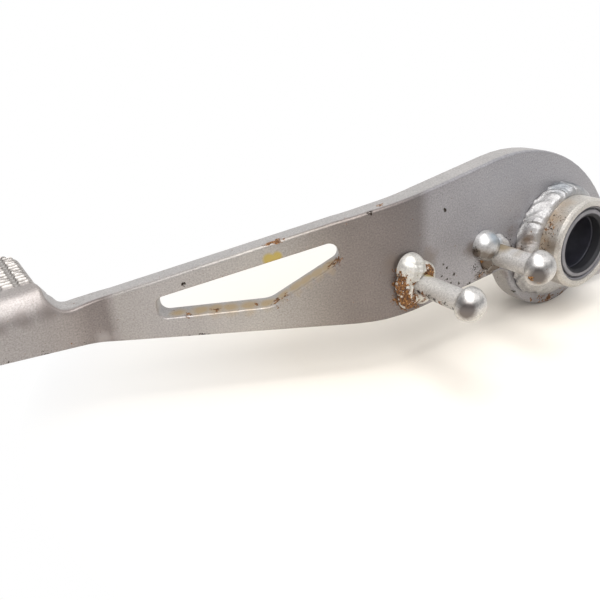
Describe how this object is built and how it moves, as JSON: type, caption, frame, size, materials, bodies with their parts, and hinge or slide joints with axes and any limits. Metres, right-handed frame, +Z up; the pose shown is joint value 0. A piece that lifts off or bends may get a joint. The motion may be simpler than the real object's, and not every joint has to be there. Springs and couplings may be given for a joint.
{
  "type": "rear brake pedal",
  "caption": "Joggled steel foot lever with a folded serrated tread, a slotted arm, a welded pivot boss with bush and seals, and headed spring pins.",
  "frame": {"origin": "middle of the pivot bore, on its axis", "axes": "+Y along the pivot axis, away from the spring pins and towards the tread; +X from the tread to the push-rod eye; +Z up"},
  "size_m": [0.2203, 0.0987, 0.0526],
  "materials": {
    "arm_paint": "satin silver paint, worn",
    "boss_paint": "satin silver paint with a film of rust",
    "boss_weld_paint": "silver paint on a rippled weld",
    "bush_bronze": "dark sintered bronze",
    "seal_rubber": "matt",
    "return_pin_steel": "satin silver paint, scratched",
    "return_weld_rusted": "silver paint flaked by orange rust",
    "switch_pin_steel": "satin silver paint",
    "switch_weld_paint": "silver paint with specks of rust"
  },
  "bodies": {
    "root": {"arm_plate": "arm_paint", "pivot_boss": "boss_paint", "boss_weld": "boss_weld_paint", "pivot_bush": "bush_bronze", "inner_dust_seal": "seal_rubber", "outer_dust_seal": "seal_rubber", "return_spring_pin": "return_pin_steel", "return_pin_weld": "return_weld_rusted", "switch_spring_pin": "switch_pin_steel", "switch_pin_weld": "switch_weld_paint"}
  },
  "joints": []
}
